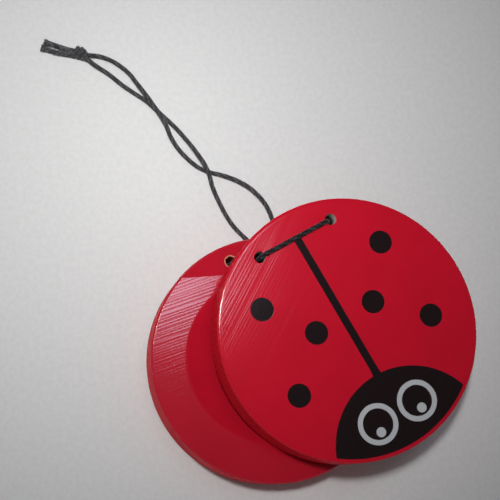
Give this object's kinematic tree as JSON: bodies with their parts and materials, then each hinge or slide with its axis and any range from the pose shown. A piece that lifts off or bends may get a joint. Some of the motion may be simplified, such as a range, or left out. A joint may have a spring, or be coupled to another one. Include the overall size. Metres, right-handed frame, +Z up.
{
  "type": "wooden castanets",
  "caption": "Round lacquered wooden hand castanets with a ladybird figure, laced on one braided black cord that ends in a twisted finger loop, a knot and short tails.",
  "frame": {"origin": "on the table, below the middle of the two shells' box, without the free cord loop", "axes": "+X to the front shell's side, across the hinge; +Y towards the hinge and the cord loop; +Z up from the table"},
  "size_m": [0.0858, 0.1039, 0.0228],
  "materials": {
    "red_lacquer": "clear gloss lacquer over red-stained turned wood",
    "black_cord": "matt braided cord"
  },
  "bodies": {
    "rear": {"rear_shell": "red_lacquer", "cord_rear_left": "black_cord", "cord_rear_right": "black_cord", "cord_strand_a": "black_cord", "cord_strand_b": "black_cord", "cord_knot": "black_cord", "cord_tail_a": "black_cord", "cord_tail_b": "black_cord"},
    "hinge_cord": {"cord_link_left": "black_cord", "cord_link_right": "black_cord"},
    "front": {"front_shell": "red_lacquer", "cord_front_bridge": "black_cord"}
  },
  "joints": [
    {"name": "fan_swivel", "type": "hinge", "parent": "rear", "child": "hinge_cord", "pos_m": [-0.00982, 0.03287, 0.01156], "axis": [0, -0.0257, 0.9997], "range_deg": [-47.8, 0], "deforming": ["cord_link_left", "cord_link_right"]},
    {"name": "clap_hinge", "type": "hinge", "parent": "hinge_cord", "child": "front", "pos_m": [-0.0029, 0.02104, 0.01244], "axis": [-0.9143, -0.405, -0.0104], "range_deg": [0, 30], "deforming": ["cord_link_left", "cord_link_right"]}
  ]
}
